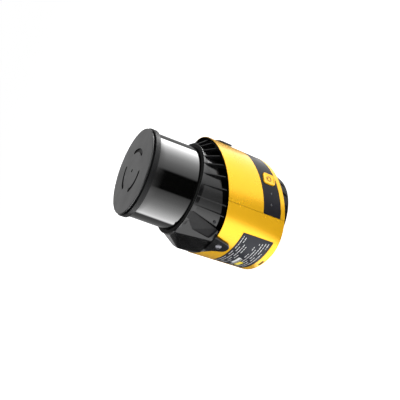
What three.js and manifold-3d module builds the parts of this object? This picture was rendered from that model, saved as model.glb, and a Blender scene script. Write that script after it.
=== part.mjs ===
// Lidar scanner module: a spinning optical head behind a fixed cylindrical window, on a round
// housing whose edges sweep up on top, closed in front by a finned frame with two screwed lugs.
// Millimetres. +Z is the spin axis, from the rear face at z = 0 towards the lidar cap.
// +X is the top of the housing. The shape is symmetric about the XZ plane, apart from the button,
// the lamps, the label and the plug, which sit on the -Y side.

import * as THREE from 'three';
import { mergeVertices } from 'three/addons/utils/BufferGeometryUtils.js';
import { ConvexGeometry } from 'three/addons/geometries/ConvexGeometry.js';
import Module from 'manifold-3d';

const wasm = await Module();
wasm.setup();

// ---------------------------------------------------------------- driving dimensions

const LENGTH = 161;              // rear face to the front of the lidar cap
const GAP = 0.3;                 // assembly clearance between neighbouring pieces
const RING_STEPS = 48;           // facets round every large ring
const DRIVE_STEPS = 30;          // facets round the rings inside the lidar head

const SHELL_R = 60.8;            // housing outside radius
const SHELL_WALL = 2.6;
const SHELL_BORE = SHELL_R - SHELL_WALL;
const SHELL_REAR = 3.2;          // rear and front edges of the housing, before the sweep
const SHELL_FRONT = 72.5;
const PARTING_X = 4.8;           // plane between the upper and lower shells

const SWEEP_RISE = 25.3;         // how far the housing's edges climb towards the lidar on top
const SWEEP_FROM = 125;          // degrees from the top where the climb starts
const SWEEP_TO = 5;              // degrees from the top where it ends

const PANEL_FRONT = SHELL_FRONT - 42;
const PANEL_REAR = SHELL_FRONT - 63.7;
const PANEL_POCKET = 1.5;        // depth of the pocket that holds the control panel

const BUTTON_ANGLE = -49.2;      // degrees about Z from the top
const BUTTON_Z = 35.8;
const BUTTON_WIDE = 13.2;
const BUTTON_LONG = 14.8;
const BUTTON_CORNER = 3.4;
const BUTTON_TOP = 61.7;         // distance of the button's face from the axis
const LAMPS = [{ angle: -64, z: 32 }, { angle: -75, z: 30 }];
const LAMP_R = 1.1;

const LABEL_FROM = -109;         // rating plate, degrees about Z
const LABEL_TO = -166;
const LABEL_REAR = 11.6;
const LABEL_FRONT = 48.9;
const LABEL_POCKET = 0.75;
const PLUG_ANGLE = -138;         // rubber plug at the rear edge of the lower shell
const PLUG_Z = 5.9;

const CAP_R = 45.2;              // front disc of the lidar head
const CAP_RING_R = 46.5;
const CAP_RING_REAR = LENGTH - 8.2;
const WINDOW_TOP_R = 44.2;
const WINDOW_BASE_R = 45.4;
const WINDOW_WALL = 2.2;
const WINDOW_TOP = 154.6;
const WINDOW_BASE = 106;
const SEAL_FRONT = 107.9;
const SEAL_R = 49.4;

const FLANGE_Z = 107.3;          // front frame: the face that the window seal lies on
const FLANGE_R = 49.9;
const RAMP_END_Z = SHELL_FRONT + 2.7;
const RAMP_END_R = 54.0;         // rear radius of the frame's skin underneath, and on top
const RAMP_TOP_R = 50.0;
const RIB_END_R = 57.3;
const RIB_THICK = 1.1;
const RIB_ANGLES = [7, 18, 29, 40, 51, 63.7, 76.3, 91.2, 102];
const BAND_FRONT = SHELL_FRONT - 4;
const BAND_REAR = SHELL_FRONT - 10;

const LUG_ANGLE = 131.2;         // the two lower lugs, degrees either side of the top
const LUG_TIP_Z = 53.3;
const LUG_TIP_R = 6.8;
const LUG_HALF_WIDTH = 10.6;
const LUG_FACE = 63.4;           // distance of the lug's flat face from the axis
const LUG_SCREW_Z = 65.6;
const FRAME_SCREW = { angle: 111.7, z: 79.8, r: 53.4 };   // small screw beside each lug's arm
const PAD_FACE = 62.1;           // mounting pad on top: distance of its flat face from the axis
const PAD_Z = 77.3;
const PAD_WIDE = 20;
const PAD_LONG = 16;
const PAD_SCREW_PITCH = 9.4;
const PAD_SINK = 0.5;
const SCREW_HEAD_R = 3.7;
const SCREW_SHANK_R = 1.4;

const REAR_DISC_R = 49;
const REAR_FLARE = 8.3;           // how far the rear cap's cone widens towards the shell
const REAR_PLATE = 3.4;
const REAR_SLOTS = 24;
const SOCKET_R = 38.5;           // pitch radius of the rear sockets and screws
const FAN_HALF = 25;
const FAN_BORE = 23.6;
const FAN_REAR = 4.2;
const FAN_FRONT = 15;
const FAN_BLADES = 7;

const POST_R = 3;
const POST_PITCH = 41;
const BOARD = 1.6;

const BASE_R = 45.5;             // lidar base, the drum under the window
const BASE_REAR = 60;
const BASE_FRONT = 102.7;
const ROTOR_R = 37.5;
const TABLE_Z = 88;
const EMITTER = { r: 9.2, z: 107 };
const RECEIVER = { r: 11.2, z: 133 };
const LENS_LONG = 13.7;
const LENS_BACK = 14.3;          // distance of the lenses' backs from the axis
const SIDE_BOARD_Y = 24.2;

// ---------------------------------------------------------------- materials

const paint = (color, roughness, metalness = 0) =>
  new THREE.MeshStandardMaterial({ color, roughness, metalness });
const YELLOW = paint(0xf4c020, 0.45);
const BLACK = paint(0x1d1d1f, 0.55);
const GREY = paint(0x4a4b4d, 0.5);
const PANEL = paint(0x34353b, 0.5);
const GLASS = paint(0x101012, 0.05);
const RUBBER = paint(0x0c0c0c, 0.8);
const SLATE = paint(0x454850, 0.4);
const STEEL = paint(0xb8bcc0, 0.25, 1);
const DARK_STEEL = paint(0x4c4c52, 0.4, 1);
const ALLOY = paint(0x8d9196, 0.4, 1);
const BOARD_GREEN = paint(0x1c5a36, 0.5);
const COPPER = paint(0xb06a3a, 0.35, 1);
const LENS = paint(0x26183a, 0.05);
const LAMP = paint(0xd8e4e8, 0.2);

// ---------------------------------------------------------------- solids

const radians = THREE.MathUtils.degToRad;

function solid(geometry) {
  const plain = geometry.index ? geometry.toNonIndexed() : geometry.clone();
  plain.deleteAttribute('normal');
  plain.deleteAttribute('uv');
  const merged = mergeVertices(plain, 1e-3);
  const corners = merged.index.array;
  const kept = [];
  for (let i = 0; i < corners.length; i += 3) {
    const [a, b, c] = corners.slice(i, i + 3);
    if (a !== b && b !== c && c !== a) kept.push(a, b, c);
  }
  const vertProperties = new Float32Array(merged.attributes.position.array);
  return new wasm.Manifold(new wasm.Mesh({ numProp: 3, vertProperties, triVerts: new Uint32Array(kept) }));
}

// Adds one named mesh to a group, placed there by its position and its turn.
function addPiece(parent, name, manifold, material, place = [0, 0, 0], turn = [0, 0, 0]) {
  const mesh = manifold.getMesh();
  const geometry = new THREE.BufferGeometry();
  geometry.setAttribute('position', new THREE.BufferAttribute(new Float32Array(mesh.vertProperties), 3));
  geometry.setIndex(new THREE.BufferAttribute(new Uint32Array(mesh.triVerts), 1));
  geometry.computeVertexNormals();
  const piece = new THREE.Mesh(geometry, material);
  piece.name = name;
  piece.position.set(...place);
  piece.rotation.set(...turn.map(radians));
  parent.add(piece);
}

// A group inside the assembly, with its own place and turn about the axis.
function subassembly(parent, place = [0, 0, 0], degrees = 0) {
  const inner = new THREE.Group();
  inner.position.set(...place);
  inner.rotation.z = radians(degrees);
  parent.add(inner);
  return inner;
}

const join = (pieces) => pieces.reduce((whole, piece) => whole.add(piece));
const cut = (whole, pieces) => pieces.reduce((left, piece) => left.subtract(piece), whole);

// A closed outline of [radius, z] points, turned about Z. It may have an edge on the axis.
function turned(outline, steps = RING_STEPS, warp = null) {
  let area = 0;
  outline.forEach(([r, z], i) => {
    const [nextR, nextZ] = outline[(i + 1) % outline.length];
    area += r * nextZ - nextR * z;
  });
  const loop = area > 0 ? [...outline] : [...outline].reverse();
  loop.push(loop[0]);
  const geometry = new THREE.LatheGeometry(loop.map(([r, z]) => new THREE.Vector2(r, z)), steps);
  geometry.rotateX(Math.PI / 2);
  if (warp) {
    const place = geometry.attributes.position;
    for (let i = 0; i < place.count; i += 1) {
      place.setXYZ(i, ...warp(place.getX(i), place.getY(i), place.getZ(i)));
    }
  }
  return solid(geometry);
}

function rod(radius, z0, z1, sides = 24, x = 0, y = 0, topRadius = radius) {
  const geometry = new THREE.CylinderGeometry(topRadius, radius, z1 - z0, sides);
  geometry.rotateX(Math.PI / 2);
  geometry.translate(x, y, (z0 + z1) / 2);
  return solid(geometry);
}

const tube = (inner, outer, z0, z1, steps = DRIVE_STEPS) =>
  turned([[inner, z0], [outer, z0], [outer, z1], [inner, z1]], steps);

function box(x0, x1, y0, y1, z0, z1) {
  const geometry = new THREE.BoxGeometry(x1 - x0, y1 - y0, z1 - z0);
  return geometry.translate((x0 + x1) / 2, (y0 + y1) / 2, (z0 + z1) / 2);
}

const block = (...corners) => solid(box(...corners));
const turnedBlock = (degrees, ...corners) => solid(box(...corners).rotateZ(radians(degrees)));

const at = (radius, degrees, z) => new THREE.Vector3(
  radius * Math.cos(radians(degrees)), radius * Math.sin(radians(degrees)), z);

// A flat outline (tangential, axial) pushed outwards from one distance to another.
function outwards(shape, near, far, degrees, z, curveSegments = 4) {
  const options = { depth: far - near, bevelEnabled: false, curveSegments };
  const geometry = new THREE.ExtrudeGeometry(shape, options);
  const out = at(1, degrees, 0);
  const along = new THREE.Vector3(-out.y, out.x, 0);
  const basis = new THREE.Matrix4().makeBasis(along, new THREE.Vector3(0, 0, 1), out);
  basis.setPosition(at(near, degrees, z));
  geometry.applyMatrix4(basis);
  return solid(geometry);
}

function roundedRectangle(wide, long, corner) {
  const x = wide / 2;
  const y = long / 2;
  const shape = new THREE.Shape();
  shape.absarc(x - corner, y - corner, corner, 0, Math.PI / 2);
  shape.absarc(-x + corner, y - corner, corner, Math.PI / 2, Math.PI);
  shape.absarc(-x + corner, -y + corner, corner, Math.PI, Math.PI * 1.5);
  shape.absarc(x - corner, -y + corner, corner, Math.PI * 1.5, Math.PI * 2);
  return shape;
}

function circle(radius) {
  const shape = new THREE.Shape();
  shape.absarc(0, 0, radius, 0, Math.PI * 2);
  return shape;
}

// A slice of a flat ring, standing on z0.
function arcBar(inner, outer, from, to, z0, z1) {
  const shape = new THREE.Shape();
  shape.absarc(0, 0, outer, radians(from), radians(to), false);
  shape.absarc(0, 0, inner, radians(to), radians(from), true);
  const options = { depth: z1 - z0, bevelEnabled: false, curveSegments: 5 };
  const geometry = new THREE.ExtrudeGeometry(shape, options);
  geometry.translate(0, 0, z0);
  return solid(geometry);
}

// ---------------------------------------------------------------- the sweep

// 0 round the underside of the housing, 1 on top, with an even S between them.
function sweep(x, y) {
  const fromTop = Math.abs(THREE.MathUtils.radToDeg(Math.atan2(y, x)));
  const share = THREE.MathUtils.clamp((SWEEP_FROM - fromTop) / (SWEEP_FROM - SWEEP_TO), 0, 1);
  return share * share * (3 - 2 * share);
}

const climb = (x, y, share) => SWEEP_RISE * sweep(x, y) * THREE.MathUtils.clamp(share, 0, 1);
const swept = (x, y, z) => [x, y, z + climb(x, y, 1)];
const sweptRear = (x, y, z) => [x, y, z + climb(x, y, (Math.hypot(x, y) - REAR_DISC_R) / REAR_FLARE)];
const edgeAt = (degrees) => SHELL_FRONT + SWEEP_RISE * sweep(...at(1, degrees, 0).toArray());

// Radius that the frame's skin reaches at its rear edge: it sinks between the fins on top.
const rampEnd = (x, y) => THREE.MathUtils.lerp(RAMP_END_R, RAMP_TOP_R, Math.min(1, 1.2 * sweep(x, y)));

// The frame's skin climbs with the shell's edge and sinks towards the axis on top.
function sweptFrame(x, y, z) {
  const share = THREE.MathUtils.clamp((FLANGE_Z - z) / (FLANGE_Z - RAMP_END_Z), 0, 1);
  const shrink = 1 - (share * (RAMP_END_R - rampEnd(x, y))) / Math.hypot(x, y);
  return [x * shrink, y * shrink, z + climb(x, y, share)];
}

// ---------------------------------------------------------------- lidar head

function topCap() {
  const disc = turned([[0, LENGTH], [CAP_R - 0.5, LENGTH], [CAP_R, LENGTH - 0.5], [CAP_R, LENGTH - 1.2],
    [42.6, LENGTH - 1.5], [42.6, LENGTH - 3.6], [0, LENGTH - 3.6]]);
  const marks = [0, 120, 240].map(
    (angle) => arcBar(21, 23.2, angle - 32, angle + 32, LENGTH - 0.6, LENGTH + 1));
  const centre = rod(1.6, LENGTH - 0.8, LENGTH + 1, 16);
  return cut(disc, [...marks, centre]);
}

function capRing() {
  const front = LENGTH - 2.8;
  const bore = WINDOW_TOP_R + 0.45;
  return turned([[43, front], [CAP_RING_R, front], [CAP_RING_R, CAP_RING_REAR], [bore, CAP_RING_REAR],
    [bore, 156], [38, 156], [38, 157.1], [43, 157.1]]);
}

function opticalWindow() {
  return turned([[WINDOW_BASE_R, WINDOW_BASE], [WINDOW_TOP_R, WINDOW_TOP],
    [WINDOW_TOP_R - WINDOW_WALL, WINDOW_TOP], [WINDOW_BASE_R - WINDOW_WALL, WINDOW_BASE]]);
}

function windowSeal() {
  const bottom = FLANGE_Z + GAP;
  return turned([[45.8, bottom], [SEAL_R, bottom], [SEAL_R - 0.7, SEAL_FRONT], [45.8, SEAL_FRONT]]);
}

// ---------------------------------------------------------------- front frame

// Round flange with the shelf that carries the window and closes the lidar base.
function frameFlange() {
  return turned([[FLANGE_R, FLANGE_Z], [FLANGE_R, 102.9], [40.5, 102.9], [40.5, 105.6], [45.8, 105.6],
    [45.8, FLANGE_Z]]);
}

function frameRamps() {
  return turned([[FLANGE_R - 0.6, FLANGE_Z - 0.2], [RAMP_END_R, RAMP_END_Z],
    [RAMP_END_R - 2, RAMP_END_Z], [FLANGE_R - 2, FLANGE_Z - 2.6]], RING_STEPS, sweptFrame);
}

function frameBand() {
  return turned([[54.6, BAND_FRONT], [57.5, BAND_FRONT], [57.5, BAND_REAR], [54.6, BAND_REAR]],
    RING_STEPS, swept);
}

// One fin in the plane of the axis, from the flange to under the shell's front edge.
function rib(degrees) {
  const edge = edgeAt(degrees);
  const root = rampEnd(...at(1, degrees, 0).toArray()) - 1.6;
  const outline = [[48.2, 106.6], [49.9, 107], [RIB_END_R, edge + 0.5], [RIB_END_R, edge - 8],
    [54.9, edge - 8], [root, edge + 4.5], [48.2, 104.4]];
  const shape = new THREE.Shape(outline.map(([r, z]) => new THREE.Vector2(r, z)));
  const geometry = new THREE.ExtrudeGeometry(shape, { depth: RIB_THICK, bevelEnabled: false });
  geometry.rotateX(Math.PI / 2);
  geometry.translate(0, RIB_THICK / 2, 0);
  return solid(geometry.rotateZ(radians(degrees)));
}

// Solid underside of the frame: a faceted chin that widens from the flange to the shell and ends
// in a ridge running to each lug. Every corner is given on the +Y side and mirrored.
function chin() {
  const side = [
    at(49.4, 108, 107.2), at(52, 145, 107.3), at(50.6, 165, 104), at(60.3, 174, 88),
    at(58.4, 117.5, 72.9), at(62.6, 127.5, 72.9), at(62.4, 151, 72.9), at(60.8, 165, 72.9),
    at(48, 109, 104), at(56, 118, 70), at(58, 150, 70)];
  const both = side.flatMap((corner) => [corner, corner.clone().setY(-corner.y)]);
  return solid(new ConvexGeometry(both));
}

// Pocket in the upper facet of the chin, from the flange to the shell: [degrees, z, floor radius].
function chinPocket(side) {
  const corners = [[109, 106.4, 48.3], [119.5, 105.8, 48.9], [129.5, 95.5, 52.8], [127.6, 79, 58.2],
    [117.4, 74.4, 55]];
  return solid(new ConvexGeometry(corners.flatMap(([degrees, z, r]) =>
    [at(r, side * degrees, z), at(r + 9, side * degrees, z)])));
}

// Flat tongue that lies over the outside of the shell and takes the screw.
function lowerLug(side) {
  const shape = new THREE.Shape();
  const tip = LUG_TIP_Z + LUG_TIP_R;
  shape.moveTo(-LUG_HALF_WIDTH, 75);
  shape.lineTo(-LUG_HALF_WIDTH, SHELL_FRONT);
  shape.lineTo(-LUG_TIP_R * 0.94, tip - LUG_TIP_R * 0.34);
  shape.absarc(0, tip, LUG_TIP_R, radians(200), radians(340), false);
  shape.lineTo(LUG_HALF_WIDTH, SHELL_FRONT);
  shape.lineTo(LUG_HALF_WIDTH, 75);
  return outwards(shape, 54, LUG_FACE, side * LUG_ANGLE, 0);
}

// Low web that widens the root of each tongue on its underside.
function lugWeb(side) {
  const corners = [[62.4, 151, 74.5], [62.5, 142.5, 66.8], [62.7, 137, 63.2], [62.8, 131, 64], [62.8, 127.5, 74.5]];
  return solid(new ConvexGeometry(corners.flatMap(([r, degrees, z]) =>
    [at(r, side * degrees, z), at(r - 5, side * degrees, z)])));
}

function screwHole(angle, z) {
  return outwards(circle(SCREW_SHANK_R + GAP), 46, 66, angle, z);
}

const lugHoles = () => [LUG_ANGLE, -LUG_ANGLE].map((angle) => screwHole(angle, LUG_SCREW_Z));

function frontFrame() {
  const ribs = RIB_ANGLES.flatMap((angle) => [rib(angle), rib(-angle)]);
  const hollow = turned([[0, 60], [54.2, 60], [52.2, 76], [45.8, 101.5], [45.8, 102.9], [0, 102.9]]);
  const well = rod(45.8, 102.8, 112, RING_STEPS);
  const clearance = SHELL_R + GAP;
  const edge = SHELL_FRONT + GAP;
  const housing = turned([[0, 30], [clearance, 30], [clearance, edge], [0, edge]], RING_STEPS, swept);
  const lugs = [1, -1].flatMap((side) => [lowerLug(side), lugWeb(side)]);
  const underside = cut(join([chin(), ...lugs]), [hollow, well, housing]);
  const { angle, z } = FRAME_SCREW;
  const smallHoles = [angle, -angle].map((degrees) => outwards(circle(0.9), 46, 60, degrees, z));
  return cut(join([frameFlange(), frameRamps(), frameBand(), ...ribs, underside]),
    [chinPocket(1), chinPocket(-1), ...lugHoles(), ...smallHoles]);
}

// Domed screw with a hex recess, pointing down from z = 0.
function domedScrew() {
  const head = new THREE.SphereGeometry(SCREW_HEAD_R, 20, 8);
  head.scale(1, 0.55, 1).rotateX(Math.PI / 2);
  const dome = cut(solid(head), [block(-9, 9, -9, 9, -9, 0)]);
  return dome.subtract(rod(1.3, 0.9, 4, 6)).add(rod(SCREW_SHANK_R, -8, 0.2, 12));
}

// Small flat screw, pointing down from z = 0.
function frameScrew() {
  const head = rod(1.5, 0, 0.7, 14).add(rod(0.6, -3.4, 0.2, 10));
  return head.subtract(rod(0.6, 0.4, 2, 6));
}

// ---------------------------------------------------------------- housing

function buttonHole(spare) {
  const outline = roundedRectangle(BUTTON_WIDE + spare * 2, BUTTON_LONG + spare * 2, BUTTON_CORNER + spare);
  return outwards(outline, 50, 66, BUTTON_ANGLE, BUTTON_Z);
}

const lampHoles = () => LAMPS.map(({ angle, z }) => outwards(circle(LAMP_R + GAP), 50, 66, angle, z));

function upperShell() {
  const floor = SHELL_R - PANEL_POCKET;
  const ring = turned([[SHELL_BORE, SHELL_REAR], [SHELL_R - 0.6, SHELL_REAR], [SHELL_R, SHELL_REAR + 0.6],
    [SHELL_R, PANEL_REAR], [floor, PANEL_REAR], [floor, PANEL_FRONT], [SHELL_R, PANEL_FRONT],
    [SHELL_R, SHELL_FRONT - 0.6], [SHELL_R - 0.6, SHELL_FRONT], [SHELL_BORE, SHELL_FRONT]],
  RING_STEPS, swept);
  const half = block(PARTING_X + GAP / 2, 70, -70, 70, -10, 120);
  return cut(ring.intersect(half), [buttonHole(0.35), ...lampHoles(),
    ...padScrewPlaces().map((z) => screwHole(0, z))]);
}

function lowerShell() {
  const ring = turned([[SHELL_BORE, SHELL_REAR], [SHELL_R - 0.6, SHELL_REAR], [SHELL_R, SHELL_REAR + 0.6],
    [SHELL_R, SHELL_FRONT - 0.6], [SHELL_R - 0.6, SHELL_FRONT], [SHELL_BORE, SHELL_FRONT]],
  RING_STEPS, swept);
  const half = block(-70, PARTING_X - GAP / 2, -70, 70, -10, 120);
  const pocket = arcBar(SHELL_R - LABEL_POCKET, SHELL_R + 4, LABEL_TO - 0.3, LABEL_FROM + 0.3,
    LABEL_REAR - GAP, LABEL_FRONT + GAP);
  const slot = outwards(roundedRectangle(9, 2.4, 0.8), 50, 66, PLUG_ANGLE, PLUG_Z);
  return cut(ring.intersect(half), [pocket, slot, ...lugHoles()]);
}

function controlPanel() {
  const inner = SHELL_R - PANEL_POCKET + GAP;
  const ring = turned([[inner, PANEL_REAR + GAP], [SHELL_R - 0.1, PANEL_REAR + GAP],
    [SHELL_R - 0.1, PANEL_FRONT - GAP],
    [inner, PANEL_FRONT - GAP]], RING_STEPS, swept);
  const half = block(PARTING_X + GAP * 1.5, 70, -70, 70, -10, 120);
  return cut(ring.intersect(half), [buttonHole(0.35), ...lampHoles()]);
}

function powerButton() {
  const outline = roundedRectangle(BUTTON_WIDE, BUTTON_LONG, BUTTON_CORNER);
  const body = outwards(outline, 56.2, BUTTON_TOP, BUTTON_ANGLE, BUTTON_Z);
  const dish = outwards(roundedRectangle(BUTTON_WIDE - 3.2, BUTTON_LONG - 3.2, BUTTON_CORNER - 1.4),
    BUTTON_TOP - 0.5, 66, BUTTON_ANGLE, BUTTON_Z);
  const foot = outwards(roundedRectangle(BUTTON_WIDE + 2, BUTTON_LONG + 2, BUTTON_CORNER), 55.6, 56.9,
    BUTTON_ANGLE, BUTTON_Z);
  return body.add(foot).subtract(dish);
}

const buttonSwitch = () => outwards(roundedRectangle(6, 6, 1), 51.4, 54.6, BUTTON_ANGLE, BUTTON_Z);
const buttonBoard = () => outwards(roundedRectangle(20, 24, 2), 49.5, 51.1, BUTTON_ANGLE, BUTTON_Z);
const lamp = ({ angle, z }) => outwards(circle(LAMP_R), 56, SHELL_R - 0.2, angle, z);

function ratingLabel() {
  const floor = SHELL_R - LABEL_POCKET + GAP;
  return arcBar(floor, SHELL_R - 0.05, LABEL_TO, LABEL_FROM, LABEL_REAR, LABEL_FRONT);
}

const rearPlug = () =>
  outwards(roundedRectangle(8.4, 1.8, 0.5), 57.4, SHELL_R - 0.3, PLUG_ANGLE, PLUG_Z);

const padScrewPlaces = () => [PAD_Z - PAD_SCREW_PITCH / 2, PAD_Z + PAD_SCREW_PITCH / 2];

// Low pad on top of the housing, hollowed to the shell's curve, that a carrier bracket bolts to.
function mountPad() {
  const pad = outwards(roundedRectangle(PAD_WIDE, PAD_LONG, 3), 58, PAD_FACE, 0, PAD_Z);
  const seat = rod(SHELL_R + GAP, 60, 100, RING_STEPS);
  const holes = padScrewPlaces().flatMap((z) => [
    screwHole(0, z), outwards(circle(2.9), PAD_FACE - PAD_SINK, 66, 0, z)]);
  return cut(pad, [seat, ...holes]);
}

// Flat screw, pointing down from z = 0.
const padScrew = () => rod(2.6, -0.4, 0, 16).add(rod(SCREW_SHANK_R, -7, -0.2, 12));

// ---------------------------------------------------------------- rear

function rearCap() {
  const dish = turned([[0, 0], [REAR_DISC_R - 1.2, 0], [REAR_DISC_R, 1.2],
    [REAR_DISC_R + REAR_FLARE, 6.2], [REAR_DISC_R + REAR_FLARE, 8.1], [55.4, 8.1], [47.6, REAR_PLATE],
    [0, REAR_PLATE]], RING_STEPS, sweptRear);
  const slots = [];
  for (let i = 0; i < REAR_SLOTS; i += 1) {
    const degrees = (i + 0.5) * (360 / REAR_SLOTS);
    slots.push(turnedBlock(degrees, 49.9, 55.1, -1.7, 1.7, -1, 60));
  }
  const grille = [];
  [[11, 14.5], [16.5, 20]].forEach(([inner, outer]) => {
    [0, 90, 180, 270].forEach(
      (angle) => grille.push(arcBar(inner, outer, angle + 8, angle + 82, -1, 5)));
  });
  const sockets = [rod(7.4, -1, 5, 20, -SOCKET_R, 0), rod(4.6, -1, 5, 16, SOCKET_R, 0)];
  const screws = [45, 135, 225, 315].flatMap((angle) => {
    const { x, y } = at(SOCKET_R, angle, 0);
    return [rod(SCREW_SHANK_R + GAP, -1, 5, 12, x, y), rod(3.1, -1, 1.9, 16, x, y)];
  });
  return cut(dish, [...slots, ...grille, ...sockets, ...screws]);
}

// Screw with a sunk hex, whose head faces the rear.
function rearScrew() {
  const head = rod(2.7, 0.3, 1.6, 16).subtract(rod(1.2, -1, 1, 6));
  return head.add(rod(SCREW_SHANK_R, 1.5, 9, 12));
}

// Round power and data socket: a barrel with a nut, a cup and five pins.
function powerSocket() {
  const cup = rod(7, 0.8, 13, 20).subtract(rod(5, -1, 8, 20));
  const pins = [0, 72, 144, 216, 288].map((angle) => {
    const { x, y } = at(2.6, angle, 0);
    return rod(0.5, 4.5, 8.5, 6, x, y);
  });
  const nut = rod(8.6, 3.8, 6, 6).subtract(rod(6, 0, 12, 20));
  return join([cup, nut, ...pins]);
}

function antennaSocket() {
  const barrel = rod(3.2, 0.6, 12, 16).subtract(rod(2.3, -1, 6, 16));
  return join([barrel, rod(0.6, 2, 6.5, 10), rod(5.4, 3.8, 5.8, 6).subtract(rod(2.6, 0, 9, 16))]);
}

function fanFrame() {
  const shape = roundedRectangle(FAN_HALF * 2, FAN_HALF * 2, 4);
  const options = { depth: FAN_FRONT - FAN_REAR, bevelEnabled: false, curveSegments: 3 };
  const geometry = new THREE.ExtrudeGeometry(shape, options);
  geometry.translate(0, 0, FAN_REAR);
  const hub = rod(8, FAN_FRONT - 2, FAN_FRONT, 24);
  const spokes = [0, 120, 240].map(
    (angle) => turnedBlock(angle, 6, 24, -1.2, 1.2, FAN_FRONT - 1.6, FAN_FRONT));
  return join([cut(solid(geometry), [rod(FAN_BORE, 0, 20, 40)]), hub, ...spokes]);
}

function fanRotor() {
  const hub = rod(9.5, FAN_REAR + 0.6, FAN_FRONT - 2.5, 28);
  const blades = [];
  for (let i = 0; i < FAN_BLADES; i += 1) {
    const blade = box(8.5, 22.6, -5, 5, -0.6, 0.6).rotateX(radians(38)).translate(0, 0, 8.6);
    blades.push(solid(blade.rotateZ(radians(i * (360 / FAN_BLADES)))));
  }
  return join([hub, ...blades]);
}

// ---------------------------------------------------------------- inside the housing

const POST_ANGLES = [45, 135, 225, 315];

function chassisPlate() {
  const holes = POST_ANGLES.map((angle) => {
    const { x, y } = at(POST_PITCH, angle, 0);
    return rod(1.8, 40, 60, 12, x, y);
  });
  return cut(rod(52, 52, 54.5, 40), [rod(9, 50, 60, 20), ...holes]);
}

const post = () => join([rod(POST_R, 17, 51.7, 12), rod(1.4, 51, 56.5, 12)]);

// Round circuit board with its tall parts, notched round the posts.
function circuitBoard(z, parts) {
  const disc = rod(47, z, z + BOARD, 32);
  const notches = POST_ANGLES.map((angle) => {
    const { x, y } = at(POST_PITCH, angle, 0);
    return rod(POST_R + 0.8, z - 1, z + 9, 12, x, y);
  });
  const chips = parts.map(([x, y, wide, deep, high]) =>
    block(x - wide / 2, x + wide / 2, y - deep / 2, y + deep / 2, z + BOARD - 0.1, z + BOARD + high));
  return cut(join([disc, ...chips]), notches);
}

const POWER_PARTS = [
  [0, 0, 16, 16, 5], [22, -4, 8, 12, 7], [-22, 6, 12, 8, 7], [0, 26, 14, 6, 3], [4, -26, 20, 6, 4]];
const MAIN_PARTS = [
  [0, 0, 18, 18, 2], [22, 8, 10, 10, 1.5], [-22, -6, 12, 14, 1.5], [0, 28, 24, 5, 4], [-4, -26, 10, 8, 2]];

const imuModule = () => join([block(-14, 14, -12, 12, 54.8, 58), block(-11, 11, -9, 9, 57, 59.4)]);

function gnssBoard() {
  const receiver = block(-12, 12, -8, 8, 43.5, 46.2);
  return join([block(-17, 17, -11.5, 11.5, 42, 43.6), receiver, rod(2.2, 43.5, 48.5, 12, 14, 8)]);
}

// ---------------------------------------------------------------- lidar drive

function lidarBase() {
  const cup = turned([[0, BASE_REAR], [BASE_R - 1, BASE_REAR], [BASE_R, BASE_REAR + 1], [BASE_R, BASE_FRONT],
    [41, BASE_FRONT], [41, BASE_REAR + 5], [0, BASE_REAR + 5]], DRIVE_STEPS);
  const tower = tube(8.4, 11.6, BASE_REAR + 4, 84);
  return cut(cup.add(tower), [rod(3.4, 55, 70, 16)]);
}

function motorStator() {
  const teeth = [];
  for (let i = 0; i < 9; i += 1) {
    teeth.push(turnedBlock(i * 40, 14, 20.5, -2, 2, 68, 76));
  }
  return join([tube(11.9, 15, 68, 76), ...teeth]);
}

const bearing = () => turned(
  [[4.4, 0], [8.1, 0], [8.1, 5], [6.9, 5], [6.9, 4.4], [5.6, 4.4], [5.6, 5], [4.4, 5]], 20);

const rotorShaft = () => join([rod(4.1, 66, 86, 24), rod(6.5, 84.6, TABLE_Z - GAP, 24)]);

function rotorTable() {
  return turned([[0, TABLE_Z], [ROTOR_R, TABLE_Z], [ROTOR_R, TABLE_Z + 4], [0, TABLE_Z + 4]], DRIVE_STEPS);
}

function magnetRing() {
  const top = TABLE_Z - GAP;
  return turned([[21.2, 67], [24.4, 67], [24.4, 80], [26.8, top], [22.4, top], [21.2, 80]], DRIVE_STEPS);
}

function encoderDisc() {
  const top = TABLE_Z - GAP;
  return turned([[29, 85], [37, 85], [37, 86.2], [31, 86.2], [31, top], [29, top]], DRIVE_STEPS);
}

// Upright core of the optical head, with seats for both lenses.
function opticsCore() {
  const core = block(-20, 20, -22, 22, TABLE_Z + 4.3, 148);
  const seats = [EMITTER, RECEIVER].map(({ r, z }) => outwards(circle(r + 0.4), 14, 30, 0, z, 14));
  return cut(core, seats);
}

// Domed lens that points along its own +Z, with its flat back at z = 0.
function lens(radius) {
  const ball = new THREE.SphereGeometry(radius * 1.6, 24, 16);
  ball.translate(0, 0, LENS_LONG - radius * 1.6);
  return solid(ball).intersect(rod(radius, 0, LENS_LONG, 28));
}

// Circuit board on one side of the optics, with a row of chips.
function sideBoard() {
  const chips = [96, 110, 124, 138].map((z) => block(-8, 8, -1.4, 1.4, z - 3, z + 3));
  return join([block(-17, 17, -0.8, 0.8, TABLE_Z + 4.3, 146), ...chips]);
}

const balanceWeight = () => block(-29, -20.3, -14, 14, TABLE_Z + 4.3, 118);

// ---------------------------------------------------------------- assembly

const OUTWARDS = [0, 90, 0];     // turns a piece that points along +Z to point along +X
const SIDES = { left: -1, right: 1 };

function addHead(parent) {
  addPiece(parent, 'top_cap', topCap(), GREY);
  addPiece(parent, 'cap_ring', capRing(), GREY);
  addPiece(parent, 'cap_seal', tube(42.2, 44.2, WINDOW_TOP + GAP, 155.7, RING_STEPS), RUBBER);
  addPiece(parent, 'optical_window', opticalWindow(), GLASS);
  addPiece(parent, 'window_seal', windowSeal(), RUBBER);
}

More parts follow.
